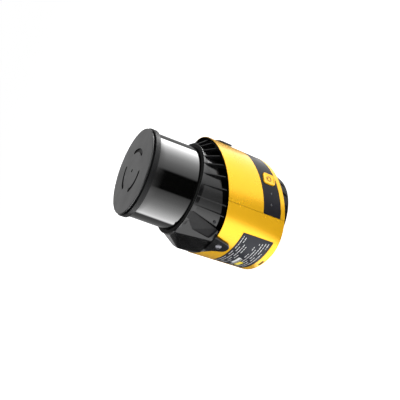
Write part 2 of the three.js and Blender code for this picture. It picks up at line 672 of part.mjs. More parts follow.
function addFrame(parent) {
  addPiece(parent, 'front_frame', frontFrame(), BLACK);
  Object.entries(SIDES).forEach(([side, sign]) => {
    const lug = subassembly(parent, [0, 0, 0], sign * LUG_ANGLE);
    addPiece(lug, `lug_screw_${side}`, domedScrew(), DARK_STEEL, [LUG_FACE + GAP, 0, LUG_SCREW_Z], OUTWARDS);
    const arm = subassembly(parent, [0, 0, 0], sign * FRAME_SCREW.angle);
    addPiece(arm, `frame_screw_${side}`, frameScrew(), DARK_STEEL,
      [FRAME_SCREW.r + GAP, 0, FRAME_SCREW.z], OUTWARDS);
  });
}

function addHousing(parent) {
  addPiece(parent, 'upper_shell', upperShell(), YELLOW);
  addPiece(parent, 'lower_shell', lowerShell(), YELLOW);
  addPiece(parent, 'control_panel', controlPanel(), PANEL);
  addPiece(parent, 'power_button', powerButton(), YELLOW);
  addPiece(parent, 'button_switch', buttonSwitch(), BLACK);
  addPiece(parent, 'button_board', buttonBoard(), BOARD_GREEN);
  LAMPS.forEach((place, i) => addPiece(parent, `status_lamp_${i + 1}`, lamp(place), LAMP));
  addPiece(parent, 'rating_label', ratingLabel(), SLATE);
  addPiece(parent, 'rear_plug', rearPlug(), RUBBER);
  addPiece(parent, 'mount_pad', mountPad(), BLACK);
  padScrewPlaces().forEach((z, i) => addPiece(parent, `pad_screw_${i + 1}`, padScrew(), STEEL,
    [PAD_FACE, 0, z], OUTWARDS));
}

function addRear(parent) {
  addPiece(parent, 'rear_cap', rearCap(), BLACK);
  POST_ANGLES.forEach((angle, i) => addPiece(parent, `rear_screw_${i + 1}`, rearScrew(), STEEL,
    at(SOCKET_R, angle, 0).toArray()));
  addPiece(parent, 'power_socket', powerSocket(), ALLOY, [-SOCKET_R, 0, 0]);
  addPiece(parent, 'antenna_socket', antennaSocket(), STEEL, [SOCKET_R, 0, 0]);
  addPiece(parent, 'fan_frame', fanFrame(), BLACK);
  addPiece(parent, 'fan_rotor', fanRotor(), GREY);
}

function addChassis(parent) {
  addPiece(parent, 'chassis_plate', chassisPlate(), ALLOY);
  POST_ANGLES.forEach((angle, i) => addPiece(parent, `chassis_post_${i + 1}`, post(), ALLOY,
    at(POST_PITCH, angle, 0).toArray()));
  addPiece(parent, 'power_board', circuitBoard(19, POWER_PARTS), BOARD_GREEN);
  addPiece(parent, 'main_board', circuitBoard(31, MAIN_PARTS), BOARD_GREEN);
  addPiece(parent, 'gnss_board', gnssBoard(), BOARD_GREEN);
  addPiece(parent, 'imu_module', imuModule(), ALLOY);
}

function addDrive(parent) {
  addPiece(parent, 'lidar_base', lidarBase(), BLACK);
  addPiece(parent, 'motor_stator', motorStator(), COPPER);
  addPiece(parent, 'bearing_rear', bearing(), STEEL, [0, 0, 70]);
  addPiece(parent, 'bearing_front', bearing(), STEEL, [0, 0, 78.5]);
  const rotor = subassembly(parent);
  addPiece(rotor, 'rotor_shaft', rotorShaft(), STEEL);
  addPiece(rotor, 'rotor_table', rotorTable(), ALLOY);
  addPiece(rotor, 'magnet_ring', magnetRing(), STEEL);
  addPiece(rotor, 'encoder_disc', encoderDisc(), STEEL);
  addPiece(rotor, 'optics_core', opticsCore(), BLACK);
  addPiece(rotor, 'emitter_lens', lens(EMITTER.r), LENS, [LENS_BACK, 0, EMITTER.z], OUTWARDS);
  addPiece(rotor, 'receiver_lens', lens(RECEIVER.r), LENS, [LENS_BACK, 0, RECEIVER.z], OUTWARDS);
  addPiece(rotor, 'emitter_board', sideBoard(), BOARD_GREEN, [0, -SIDE_BOARD_Y, 0]);
  addPiece(rotor, 'receiver_board', sideBoard(), BOARD_GREEN, [0, SIDE_BOARD_Y, 0]);
  addPiece(rotor, 'balance_weight', balanceWeight(), STEEL);
}

const group = new THREE.Group();
[addHead, addFrame, addHousing, addRear, addChassis, addDrive].forEach((add) => add(subassembly(group)));

export default group;
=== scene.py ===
"""Looks of the lidar scanner module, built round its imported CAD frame.

The row frame is in metres: +Z is the spin axis, from the rear face to the lidar cap, and +X is the
top of the housing.  Sizes of the detail are written in millimetres, and shapes are scaled by MM as
they become meshes.  A shape is a pair of lists, (vertices, faces).
"""
import math

import bmesh
import bpy
from mathutils import Matrix, Vector


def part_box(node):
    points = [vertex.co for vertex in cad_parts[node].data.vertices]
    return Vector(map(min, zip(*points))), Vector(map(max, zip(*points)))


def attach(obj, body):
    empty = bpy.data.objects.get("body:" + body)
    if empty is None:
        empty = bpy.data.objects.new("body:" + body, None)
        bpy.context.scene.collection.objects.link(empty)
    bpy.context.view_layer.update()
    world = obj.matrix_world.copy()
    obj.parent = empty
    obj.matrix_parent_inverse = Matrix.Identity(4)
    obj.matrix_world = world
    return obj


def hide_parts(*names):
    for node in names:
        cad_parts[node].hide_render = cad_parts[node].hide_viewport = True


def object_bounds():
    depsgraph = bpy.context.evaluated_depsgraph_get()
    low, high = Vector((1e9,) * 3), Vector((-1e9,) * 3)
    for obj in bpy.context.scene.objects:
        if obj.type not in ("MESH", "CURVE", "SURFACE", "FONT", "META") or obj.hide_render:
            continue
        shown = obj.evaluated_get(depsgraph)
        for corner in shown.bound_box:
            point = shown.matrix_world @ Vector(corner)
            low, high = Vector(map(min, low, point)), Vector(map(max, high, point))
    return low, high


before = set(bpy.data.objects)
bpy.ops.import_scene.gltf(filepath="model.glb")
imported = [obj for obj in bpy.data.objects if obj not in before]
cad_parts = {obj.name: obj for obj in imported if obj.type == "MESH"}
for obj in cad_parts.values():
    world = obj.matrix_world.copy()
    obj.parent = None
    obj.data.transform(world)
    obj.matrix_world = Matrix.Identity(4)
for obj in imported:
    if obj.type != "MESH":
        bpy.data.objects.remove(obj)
cad_low, cad_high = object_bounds()

MM = 0.001


def box_mm(node):
    low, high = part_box(node)
    return low / MM, high / MM


# ---------------------------------------- driving dimensions, millimetres

LENGTH = cad_high.z / MM
SHELL_R = -box_mm("lower_shell")[0].x
SHELL_REAR = box_mm("lower_shell")[0].z
SHELL_WALL = 2.6
SHELL_BORE = SHELL_R - SHELL_WALL
SHELL_RIM = 0.6            # flat that is left at the front edge, inside of which the wall is bevelled
SHELL_FRONT = 72.5
SWEEP_RISE = 25.3          # how far the housing's edges climb towards the lidar on top
SWEEP_FROM = 125           # degrees from the top where the climb starts and ends
SWEEP_TO = 5
PARTING_X = 4.8
GAP = 0.3

PANEL_FRONT = SHELL_FRONT - 42
PANEL_REAR = SHELL_FRONT - 63.7
PANEL_POCKET = 1.5
BUTTON_ANGLE = -49.2
BUTTON_Z = 35.8
BUTTON_WIDE = 13.2
BUTTON_LONG = 14.8
BUTTON_CORNER = 3.4
BUTTON_TOP = 61.7
LAMPS = ((-64, 32), (-75, 30))
LAMP_R = 1.1
LABEL_FROM = -166
LABEL_TO = -109
LABEL_REAR, LABEL_FRONT = (corner.z for corner in box_mm("rating_label"))
LABEL_POCKET = 0.75
LABEL_FACE = SHELL_R - 0.05
INK = 0.03                 # thickness of the print
WHITE_BLOCK = (-155, -140, 29.6, 33)       # from one angle to another, then two heights
YELLOW_BLOCK = (-158, -147, 21.5, 26.5)
# Printed rows of the label: how far each lies behind its front edge, and the angle that it stops at.
LABEL_ROWS = ((3.2, -112), (6.4, -113), (9.6, -121), (12.8, -123), (21.2, -120), (24.4, -115), (27.6, -112),
              (30.8, -112), (34, -112))
PLUG_ANGLE = -138
PLUG_Z = 5.9

CAP_R = box_mm("top_cap")[1].x
EMBLEM_INNER = 19.9        # three plain arcs sunk into the cap's face
EMBLEM_OUTER = 23.9
EMBLEM_DEEP = 1.3
RING_R = box_mm("cap_ring")[1].x
RING_REAR = box_mm("cap_ring")[0].z
WINDOW_BASE, WINDOW_TOP = (corner.z for corner in box_mm("optical_window"))
WINDOW_BASE_R = box_mm("optical_window")[1].x
WINDOW_TOP_R = 44.2
WINDOW_WALL = 2.2
SEAL_R = box_mm("window_seal")[1].x
SEAL_REAR, SEAL_FRONT = (corner.z for corner in box_mm("window_seal"))

THROAT_R = 45.8            # opening of the frame, and of the seal on it
LEDGE_REAR = 102.9         # ledge inside the frame that carries the window
LEDGE_FRONT = 105.6
FLANGE_Z = SEAL_REAR - GAP
FLANGE_R = 49.9
RAMP_END_Z = SHELL_FRONT + 2.7
RAMP_END_R = 54.0          # rear radius of the frame's skin underneath, and on top
RAMP_TOP_R = 50.0
RIB_END_R = 57.3
RIB_THICK = 1.1
RIB_ANGLES = (7, 18, 29, 40, 51, 63.7, 76.3, 91.2, 102)
BAND_FRONT = SHELL_FRONT - 4
BAND_REAR = SHELL_FRONT - 10
LUG_ANGLE = 131.2
LUG_TIP_Z = 53.3
LUG_TIP_R = 6.8
LUG_HALF_WIDTH = 10.6
LUG_FACE = 63.4
LUG_SCREW_Z = 65.6
ARM_SCREW_ANGLE = 111.7    # small screw beside each lug's arm
ARM_SCREW_Z = 79.8
ARM_SCREW_R = 53.4
PAD_FACE = box_mm("mount_pad")[1].x
PAD_Z = 77.3
PAD_WIDE = 20
PAD_LONG = 16
PAD_SCREW_PITCH = 9.4
PAD_SINK = 0.5

REAR_DISC_R = 49
REAR_FLARE = 8.3
REAR_PLATE = 3.4
REAR_SLOTS = 24
SOCKET_R = 38.5
REAR_SCREW_ANGLES = (45, 135, 225, 315)
SCREW_SHANK_R = 1.4

CUT_FROM = 50              # radii that a cutter for the housing's wall reaches between
CUT_TO = 66
STEPS = 240                # columns round a large ring
SMALL_STEPS = 48           # columns round a screw or a lens

# ---------------------------------------- camera

CAMERA_PLACE = Vector((-0.00424, -0.48365, 0.30778))
CAMERA_RIGHT = Vector((0.3417, -0.4016, -0.8497))
CAMERA_UP = Vector((0.9398, 0.1460, 0.3089))


def make_camera():
    data = bpy.data.cameras.new("photo_camera")
    data.lens = 45
    data.sensor_width = 36
    camera = bpy.data.objects.new("photo_camera", data)
    right = CAMERA_RIGHT.normalized()
    back = right.cross(CAMERA_UP).normalized()
    turn = Matrix((right, back.cross(right), back)).transposed()
    camera.matrix_world = Matrix.Translation(CAMERA_PLACE) @ turn.to_4x4()
    link(camera)
    bpy.context.scene.camera = camera


# ---------------------------------------- node helpers

def new_material(name):
    made = bpy.data.materials.new(name)
    made.use_nodes = True
    tree = made.node_tree
    shader = next(node for node in tree.nodes if node.type == "BSDF_PRINCIPLED")
    return made, tree, shader


def finish_sockets(shader, **values):
    """Sets plain values on the shader's own sockets: finish_sockets(shader, Coat_Weight=0.2)."""
    for name, value in values.items():
        shader.inputs[name.replace("_", " ")].default_value = value


def place_coordinates(tree, stretch=(1, 1, 1)):
    """Object coordinates in metres, scaled so that textures count in millimetres."""
    source = tree.nodes.new("ShaderNodeTexCoord")
    scale = tree.nodes.new("ShaderNodeMapping")
    scale.inputs["Scale"].default_value = [part / MM for part in stretch]
    tree.links.new(source.outputs["Object"], scale.inputs["Vector"])
    return scale.outputs["Vector"]


def noise_field(tree, vector, size, detail=3.0, roughness=0.5):
    """Noise whose features are about size millimetres across."""
    node = tree.nodes.new("ShaderNodeTexNoise")
    node.inputs["Scale"].default_value = 1 / size
    node.inputs["Detail"].default_value = detail
    node.inputs["Roughness"].default_value = roughness
    tree.links.new(vector, node.inputs["Vector"])
    return node.outputs["Fac"]


def spread(tree, value, low, high, start=0.3, end=0.7):
    """A field from start to end, mapped from low to high."""
    node = tree.nodes.new("ShaderNodeMapRange")
    node.inputs["From Min"].default_value = start
    node.inputs["From Max"].default_value = end
    node.inputs["To Min"].default_value = low
    node.inputs["To Max"].default_value = high
    tree.links.new(value, node.inputs["Value"])
    return node.outputs["Result"]


def blend_colours(tree, factor, first, second):
    """Mix of two colours, each a tuple or a socket, by a field."""
    node = tree.nodes.new("ShaderNodeMix")
    node.data_type = "RGBA"
    tree.links.new(factor, node.inputs["Factor"])
    for key, colour in (("A", first), ("B", second)):
        socket = next(s for s in node.inputs if s.name == key and s.type == "RGBA")
        if isinstance(colour, tuple):
            socket.default_value = (*colour, 1)
        else:
            tree.links.new(colour, socket)
    return next(s for s in node.outputs if s.type == "RGBA")


def maths(tree, operation, first, second=None, third=None):
    """One Math node; each input is a number or a socket."""
    node = tree.nodes.new("ShaderNodeMath")
    node.operation = operation
    for socket, value in zip(node.inputs, (first, second, third)):
        if value is None:
            continue
        if isinstance(value, (int, float)):
            socket.default_value = value
        else:
            tree.links.new(value, socket)
    return node.outputs["Value"]


def bump(tree, shader, heights, distance):
    """Relief of that many millimetres, from a field or the sum of several."""
    total = heights[0]
    for extra in heights[1:]:
        total = maths(tree, "ADD", total, extra)
    node = tree.nodes.new("ShaderNodeBump")
    node.inputs["Strength"].default_value = 1.0
    node.inputs["Distance"].default_value = distance * MM
    tree.links.new(total, node.inputs["Height"])
    tree.links.new(node.outputs["Normal"], shader.inputs["Normal"])


def moulded(name, dark, light, roughness, grain=0.45, relief=0.02, patch=14.0, **sockets):
    """Moulded or painted surface: fine grain in relief, slow patches in colour and in gloss."""
    made, tree, shader = new_material(name)
    place = place_coordinates(tree)
    slow = noise_field(tree, place, patch, 4)
    fine = noise_field(tree, place, grain, 2)
    tone = maths(tree, "MULTIPLY_ADD", fine, 0.35, maths(tree, "MULTIPLY", slow, 0.65))
    colour = blend_colours(tree, spread(tree, tone, 0, 1), dark, light)
    tree.links.new(colour, shader.inputs["Base Color"])
    low, high = roughness
    tree.links.new(spread(tree, slow, low, high), shader.inputs["Roughness"])
    bump(tree, shader, [fine], relief)
    finish_sockets(shader, **sockets)
    return made


def machined(name, dark, light, roughness, stretch, relief=0.01, **sockets):
    """Metal with fine tool marks, stretched along one way."""
    made, tree, shader = new_material(name)
    marks = noise_field(tree, place_coordinates(tree, stretch), 0.5, 4, 0.6)
    stains = noise_field(tree, place_coordinates(tree), 9.0, 3)
    colour = blend_colours(tree, spread(tree, stains, 0, 1), dark, light)
    tree.links.new(colour, shader.inputs["Base Color"])
    low, high = roughness
    tree.links.new(spread(tree, marks, low, high), shader.inputs["Roughness"])
    bump(tree, shader, [marks], relief)
    finish_sockets(shader, Metallic=1.0, **sockets)
    return made


# ---------------------------------------- materials

def yellow_shell():
    return moulded("yellow_shell", (0.9, 0.478, 0.0073), (0.91, 0.484, 0.0078), (0.26, 0.28), grain=5,
                   relief=0.002, patch=22, Metallic=0.4)


def cap_grey():
    return moulded("cap_grey", (0.012, 0.012, 0.0125), (0.018, 0.018, 0.0185), (0.3, 0.38), grain=0.4,
                   relief=0.008)


# Painted shade: a darker, less glossy copy of the cap's grey, given to the cap's rim.
def rim_shaded_grey():
    return moulded("rim_shaded_grey", (0.006, 0.006, 0.0065), (0.009, 0.009, 0.0095), (0.34, 0.42), grain=0.4,
                   relief=0.008, Specular_IOR_Level=0.14)


def frame_black():
    return moulded("frame_black", (0.003, 0.003, 0.0032), (0.006, 0.006, 0.0065), (0.16, 0.21), grain=0.35,
                   relief=0.003)


def recess_shade_black():
    """Painted shade for recesses: a rougher, less glossy black, used on the floor of the pockets in the
    frame and in the cap's sunk arcs.
    """
    return moulded("recess_shade_black", (0.004, 0.004, 0.0045), (0.009, 0.009, 0.0095), (0.5, 0.62), grain=0.7,
                   relief=0.03, Specular_IOR_Level=0.3)


def rear_black():
    return moulded("rear_black", (0.004, 0.004, 0.0045), (0.007, 0.007, 0.0075), (0.56, 0.66), relief=0.01,
                   Specular_IOR_Level=0.08)


def panel_dark():
    return moulded("panel_dark", (0.010, 0.010, 0.013), (0.016, 0.016, 0.020), (0.36, 0.44), grain=0.3,
                   relief=0.004, Specular_IOR_Level=0.13)


def seal_rubber():
    return moulded("seal_rubber", (0.003, 0.003, 0.003), (0.008, 0.008, 0.008), (0.65, 0.85), grain=0.8,
                   relief=0.03, Specular_IOR_Level=0.25)


def window_glass():
    """Black infrared filter, polished, with faint smears."""
    made, tree, shader = new_material("window_glass")
    smears = noise_field(tree, place_coordinates(tree, (1, 1, 0.25)), 6.0, 5, 0.6)
    tree.links.new(spread(tree, smears, 0.012, 0.05), shader.inputs["Roughness"])
    tree.links.new(blend_colours(tree, smears, (0.001, 0.001, 0.001), (0.002, 0.002, 0.002)),
                   shader.inputs["Base Color"])
    finish_sockets(shader, IOR=1.5)
    return made


def label_slate():
    return moulded("label_slate", (0.012, 0.013, 0.018), (0.018, 0.019, 0.026), (0.34, 0.46), grain=0.25,
                   relief=0.003, Specular_IOR_Level=0.18)


def printed_ink(name, colour):
    paler = tuple(min(1.0, part * 1.15 + 0.01) for part in colour)
    return moulded(name, colour, paler, (0.4, 0.55), grain=0.2, relief=0.003, patch=3)


def lamp_clear():
    return moulded("lamp_clear", (0.045, 0.047, 0.055), (0.07, 0.073, 0.085), (0.15, 0.25), patch=1,
                   relief=0.003, Coat_Weight=0.5)


def steel():
    return machined("steel", (0.36, 0.37, 0.38), (0.52, 0.53, 0.54), (0.2, 0.34), (1, 1, 0.2))


def dark_steel():
    return machined("dark_steel", (0.13, 0.13, 0.145), (0.2, 0.2, 0.215), (0.32, 0.42), (1, 1, 0.2),
                    relief=0.005)


def black_oxide():
    return machined("black_oxide", (0.02, 0.02, 0.022), (0.035, 0.035, 0.038), (0.36, 0.46), (1, 1, 0.2),
                    relief=0.005)


def alloy():
    return machined("alloy", (0.34, 0.35, 0.36), (0.44, 0.45, 0.46), (0.34, 0.5), (0.15, 1, 1), relief=0.02)


def winding():
    """Copper wire wound round the stator's teeth."""
    made, tree, shader = new_material("winding")
    place = place_coordinates(tree)
    wave = tree.nodes.new("ShaderNodeTexWave")
    wave.bands_direction = "Z"
    wave.inputs["Scale"].default_value = 0.6
    wave.inputs["Distortion"].default_value = 0.8
    tree.links.new(place, wave.inputs["Vector"])
    tree.links.new(blend_colours(tree, wave.outputs["Fac"], (0.16, 0.05, 0.02), (0.62, 0.24, 0.10)),
                   shader.inputs["Base Color"])
    bump(tree, shader, [wave.outputs["Fac"]], 0.15)
    finish_sockets(shader, Metallic=1.0, Roughness=0.3)
    return made


def board_green():
    """Green solder mask with copper tracks under it and pale pads."""
    made, tree, shader = new_material("board_green")
    place = place_coordinates(tree)
    tracks = tree.nodes.new("ShaderNodeTexBrick")
    tracks.inputs["Scale"].default_value = 0.4
    tracks.inputs["Mortar Size"].default_value = 0.06
    tracks.inputs["Color1"].default_value = (0.006, 0.07, 0.028, 1)
    tracks.inputs["Color2"].default_value = (0.008, 0.09, 0.035, 1)
    tracks.inputs["Mortar"].default_value = (0.05, 0.17, 0.05, 1)
    tree.links.new(place, tracks.inputs["Vector"])
    pads = tree.nodes.new("ShaderNodeTexVoronoi")
    pads.inputs["Scale"].default_value = 0.45
    tree.links.new(place, pads.inputs["Vector"])
    mask = spread(tree, pads.outputs["Distance"], 1, 0, 0.12, 0.16)
    tree.links.new(blend_colours(tree, mask, tracks.outputs["Color"], (0.6, 0.58, 0.5)),
                   shader.inputs["Base Color"])
    tree.links.new(spread(tree, mask, 0.45, 0.25, 0, 1), shader.inputs["Roughness"])
    bump(tree, shader, [mask, tracks.outputs["Fac"]], 0.03)
    return made


def lens_glass():
    """Coated lens: deep violet with a slow change of tint."""
    made, tree, shader = new_material("lens_glass")
    tint = noise_field(tree, place_coordinates(tree), 10, 2)
    tree.links.new(blend_colours(tree, tint, (0.010, 0.004, 0.022), (0.03, 0.008, 0.03)),
                   shader.inputs["Base Color"])
    finish_sockets(shader, Roughness=0.03, IOR=1.8, Coat_Weight=1.0)
    return made


FINISHES = {
    "cap_grey": cap_grey(), "window_glass": window_glass(), "seal_rubber": seal_rubber(),
    "frame_black": frame_black(), "shell_yellow": yellow_shell(), "panel_dark": panel_dark(),
    "label_slate": label_slate(), "lamp_clear": lamp_clear(), "steel": steel(), "alloy": alloy(),
    "dark_steel": dark_steel(), "board_green": board_green(), "winding": winding(),
    "lens_glass": lens_glass(),
}

# ---------------------------------------- outlines and shapes


def rounded(outline, radius=0.3, steps=3):
    """A closed outline with every corner eased. A corner may carry its own radius as a third number."""
    points = []
    for index, corner in enumerate(outline):
        here = Vector(corner[:2])
        size = corner[2] if len(corner) > 2 else radius
        before = Vector(outline[index - 1][:2]) - here
        after = Vector(outline[(index + 1) % len(outline)][:2]) - here
        reach = min(size, before.length * 0.45, after.length * 0.45)
        if reach < 1e-4:
            points.append(here)
            continue
        start = here + before.normalized() * reach
        end = here + after.normalized() * reach
        for step in range(steps + 1):
            share = step / steps
            points.append(start * (1 - share) ** 2 + here * (2 * share * (1 - share)) + end * share ** 2)
    return points


def circle(radius, count=SMALL_STEPS):
    return [(radius * math.cos(math.tau * i / count), radius * math.sin(math.tau * i / count))
            for i in range(count)]


def rounded_rectangle(wide, long, corner, steps=7):
    corners = [(wide / 2 - corner, long / 2 - corner, 0), (corner - wide / 2, long / 2 - corner, 90),
               (corner - wide / 2, corner - long / 2, 180), (wide / 2 - corner, corner - long / 2, 270)]
    return [(x + corner * math.cos(math.radians(start + 90 * i / steps)),
             y + corner * math.sin(math.radians(start + 90 * i / steps)))
            for x, y, start in corners for i in range(steps + 1)]


def lathe(outline, steps=STEPS, span=(0, 360), warp=None):
    """A closed outline of (radius, z) turned about Z, capped where it stops short of a full turn."""
    full = span[1] - span[0] >= 360
    columns = steps if full else steps + 1
    count = len(outline)
    vertices = []
    for column in range(columns):
        angle = math.radians(span[0] + (span[1] - span[0]) * column / steps)
        for radius, z in outline:
            x = radius * math.cos(angle)
            y = radius * math.sin(angle)
            vertices.append(Vector(warp(x, y, z) if warp else (x, y, z)))
    faces = []
    for column in range(steps):
        here = column * count
        there = (column + 1) % columns * count
        faces += [(here + row, here + (row + 1) % count, there + (row + 1) % count, there + row)
                  for row in range(count)]
    if not full:
        faces.append(tuple(range(count)))
        faces.append(tuple(reversed(range(steps * count, steps * count + count))))
    return vertices, faces


def loft(outlines, heights):
    """Like outlines of (x, y), one on each height, joined and capped."""
    count = len(outlines[0])
    vertices = [Vector((x, y, z)) for outline, z in zip(outlines, heights) for x, y in outline]
    faces = [tuple(reversed(range(count)))]
    for level in range(len(heights) - 1):
        low = level * count
        faces += [(low + i, low + (i + 1) % count, low + count + (i + 1) % count, low + count + i)
                  for i in range(count)]
    faces.append(tuple(range(len(vertices) - count, len(vertices))))
    return vertices, faces


def prism(outline, low, high):
    return loft([outline, outline], [low, high])


def eased_plate(outline_at, low, high, ease, steps=3):
    """A plate whose upper edge is rounded; outline_at(inset) gives its outline."""
    insets = [0] + [ease * (1 - math.cos(math.pi / 2 * i / steps)) for i in range(steps + 1)]
    heights = [low] + [high - ease + ease * math.sin(math.pi / 2 * i / steps) for i in range(steps + 1)]
    return loft([outline_at(inset) for inset in insets], heights)


def placed(shape, matrix):
    return [matrix @ vertex for vertex in shape[0]], shape[1]


def facing_out(degrees, z, distance=0):
    """X runs round the axis, Y along it and Z out from it."""
    out = Vector((math.cos(math.radians(degrees)), math.sin(math.radians(degrees)), 0))
    along = Vector((-out.y, out.x, 0))
    matrix = Matrix((along, Vector((0, 0, 1)), out)).transposed().to_4x4()
    matrix.translation = out * distance + Vector((0, 0, z))
    return matrix


def turned_by(degrees):
    return Matrix.Rotation(math.radians(degrees), 4, "Z")


def at(radius, degrees, z):
    angle = math.radians(degrees)
    return Vector((radius * math.cos(angle), radius * math.sin(angle), z))


def rod(radius, low, high, x=0, y=0, count=SMALL_STEPS):
    return placed(prism(circle(radius, count), low, high), Matrix.Translation((x, y, 0)))


def drill(radius, degrees, z, low=CUT_FROM, high=CUT_TO, count=24):
    """A rod that points at the axis, to cut a hole with."""
    return placed(rod(radius, low, high, count=count), facing_out(degrees, z))


def block(low, high):
    outline = [(low[0], low[1]), (high[0], low[1]), (high[0], high[1]), (low[0], high[1])]
    return prism(outline, low[2], high[2])


# ---------------------------------------- meshes and pieces

def link(obj):
    bpy.context.scene.collection.objects.link(obj)


def mesh_from(shapes, name="shape"):
    """One mesh, in metres, of closed shapes in millimetres."""
    work = bmesh.new()
    for vertices, faces in shapes:
        made = [work.verts.new(vertex * MM) for vertex in vertices]
        for face in faces:
            if len({made[i].co.to_tuple(9) for i in face}) > 2:
                work.faces.new([made[i] for i in face])
    bmesh.ops.remove_doubles(work, verts=work.verts, dist=1e-8)
    bmesh.ops.dissolve_degenerate(work, edges=work.edges, dist=1e-9)
    loose = [vertex for vertex in work.verts if not vertex.link_faces]
    bmesh.ops.delete(work, geom=loose, context="VERTS")
    bmesh.ops.recalc_face_normals(work, faces=work.faces)
    mesh = bpy.data.meshes.new(name)
    work.to_mesh(mesh)
    work.free()
    return mesh


def new_object(name, shapes):
    made = bpy.data.objects.new(name, mesh_from(shapes, name))
    link(made)
    return made


def applied(obj):
    """Swaps an object's mesh for the one its modifiers make."""
    bpy.context.view_layer.update()
    graph = bpy.context.evaluated_depsgraph_get()
    mesh = bpy.data.meshes.new_from_object(obj.evaluated_get(graph))
    obj.modifiers.clear()
    obj.data = mesh
    return obj


def combine(obj, shapes, operation="DIFFERENCE"):
    """Cuts the shapes from an object, or joins them to it, in one boolean."""
    tool = new_object("tool", shapes)
    step = obj.modifiers.new("combine", "BOOLEAN")
    step.operation = operation
    step.solver = "EXACT"
    step.object = tool
    applied(obj)
    bpy.data.objects.remove(tool)
    return obj


def softened(shape, width, segments=2, sharp=28):
    """A shape whose hard edges are rounded."""
    mesh = mesh_from([shape])
    work = bmesh.new()
    work.from_mesh(mesh)
    edges = [edge for edge in work.edges
             if len(edge.link_faces) == 2 and edge.calc_face_angle(0) > math.radians(sharp)]
    bmesh.ops.bevel(work, geom=edges, offset=width * MM, segments=segments, profile=0.5,
                    affect="EDGES", clamp_overlap=True)
    work.verts.index_update()
    corners = [vertex.co / MM for vertex in work.verts]
    faces = [tuple(vertex.index for vertex in face.verts) for face in work.faces]
    work.free()
    bpy.data.meshes.remove(mesh)
    return corners, faces


def finish_piece(obj, slot, node=None, body="housing", finish=None, sharp=32):
    """Gives a piece its finish, its smooth faces with level large ones, and its place in the frame."""
    obj.data.materials.clear()
    obj.data.materials.append(finish or FINISHES[slot])
    obj.data.shade_smooth()
    obj.data.set_sharp_from_angle(angle=math.radians(sharp))
    level = obj.modifiers.new("level_faces", "WEIGHTED_NORMAL")
    level.keep_sharp = True
    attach(obj, body)
    if node:
        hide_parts(node)


def make_piece(name, shapes, slot, node=None, body="housing", finish=None):
    finish_piece(new_object(name, shapes), slot, node, body, finish)


def new_bolt(name, profile, recess, place):
    """A turned bolt with a recess in its head."""
    bolt = new_object(name, [placed(lathe(profile, SMALL_STEPS), place)])
    return combine(bolt, [placed(recess, place)])


# ---------------------------------------- the sweep

def sweep(x, y):
    """0 round the underside of the housing, 1 on top, with an even S between them."""
    from_top = abs(math.degrees(math.atan2(y, x)))
    share = min(max((SWEEP_FROM - from_top) / (SWEEP_FROM - SWEEP_TO), 0), 1)
    return share * share * (3 - 2 * share)


def climb(x, y, share):
    return SWEEP_RISE * sweep(x, y) * min(max(share, 0), 1)


def swept(x, y, z):
    return x, y, z + climb(x, y, 1)


def ramp_end(x, y):
    """Radius that the frame's skin reaches at its rear edge: it sinks between the fins on top."""
    return RAMP_END_R + (RAMP_TOP_R - RAMP_END_R) * min(1, 1.2 * sweep(x, y))


def swept_frame(x, y, z):
    """The frame's skin climbs with the shell's edge and sinks towards the axis on top."""
    share = min(max((FLANGE_Z - z) / (FLANGE_Z - RAMP_END_Z), 0), 1)
    shrink = 1 - share * (RAMP_END_R - ramp_end(x, y)) / math.hypot(x, y)
    return x * shrink, y * shrink, z + climb(x, y, share)


def swept_rear(x, y, z):
    return x, y, z + climb(x, y, (math.hypot(x, y) - REAR_DISC_R) / REAR_FLARE)


def edge_at(degrees):
    turned = at(1, degrees, 0)
    return SHELL_FRONT + SWEEP_RISE * sweep(turned.x, turned.y)


# ---------------------------------------- lidar head

def arc_groove(inner, outer, start, end, low, high, steps=20):
    """A slice of a flat ring with round ends."""
    middle = (inner + outer) / 2
    half = (outer - inner) / 2
    outline = []
    for i in range(steps + 1):
        turned = at(outer, start + (end - start) * i / steps, 0)
        outline.append((turned.x, turned.y))
    for degrees, first in ((end, 0), (start, 180)):
        centre = at(middle, degrees, 0)
        for i in range(1, 8):
            angle = math.radians(degrees + first + 180 * i / 8)
            outline.append((centre.x + half * math.cos(angle), centre.y + half * math.sin(angle)))
        if first == 0:
            for i in range(steps + 1):
                turned = at(inner, end + (start - end) * i / steps, 0)
                outline.append((turned.x, turned.y))
    return prism(outline, low, high)


def make_cap():
    floor = LENGTH - EMBLEM_DEEP
    disc = rounded([(0, LENGTH, 0), (CAP_R, LENGTH, 0.55), (CAP_R, LENGTH - 1.25, 0.3),
                    (42.6, LENGTH - 1.5), (42.6, LENGTH - 3.6), (0, LENGTH - 3.6, 0)])
    cap = new_object("cap_face", [lathe(disc)])
    marks = [arc_groove(EMBLEM_INNER, EMBLEM_OUTER, angle - 32, angle + 32, floor, LENGTH + 1)
             for angle in (0, 120, 240)]
    combine(cap, [*marks, rod(1.8, floor, LENGTH + 1)])
    finish_piece(cap, "cap_grey", "top_cap")
    # Painted shade: the emblem's sunk arcs and its centre hole are painted dark.
    repaint(cap, recess_shade_black(), lambda centre, normal: (
        centre.xy.length < EMBLEM_OUTER + 0.1 and floor - 0.1 < centre.z < LENGTH - 0.1))


def make_cap_ring():
    front = LENGTH - 2.8
    bore = WINDOW_TOP_R + 0.45
    outline = rounded([(43, front), (RING_R, front, 0.5), (RING_R, RING_REAR, 0.6), (bore, RING_REAR),
                       (bore, 156), (38, 156), (38, 157.1), (43, 157.1)])
    # Painted shade: the rim takes the darker copy of the cap's grey.
    make_piece("cap_rim", [lathe(outline)], "cap_grey", "cap_ring", finish=rim_shaded_grey())


def make_window():
    outline = rounded([(WINDOW_BASE_R, WINDOW_BASE), (WINDOW_TOP_R, WINDOW_TOP),
                       (WINDOW_TOP_R - WINDOW_WALL, WINDOW_TOP),
                       (WINDOW_BASE_R - WINDOW_WALL, WINDOW_BASE)], 0.25)
    make_piece("window_tube", [lathe(outline)], "window_glass", "optical_window")


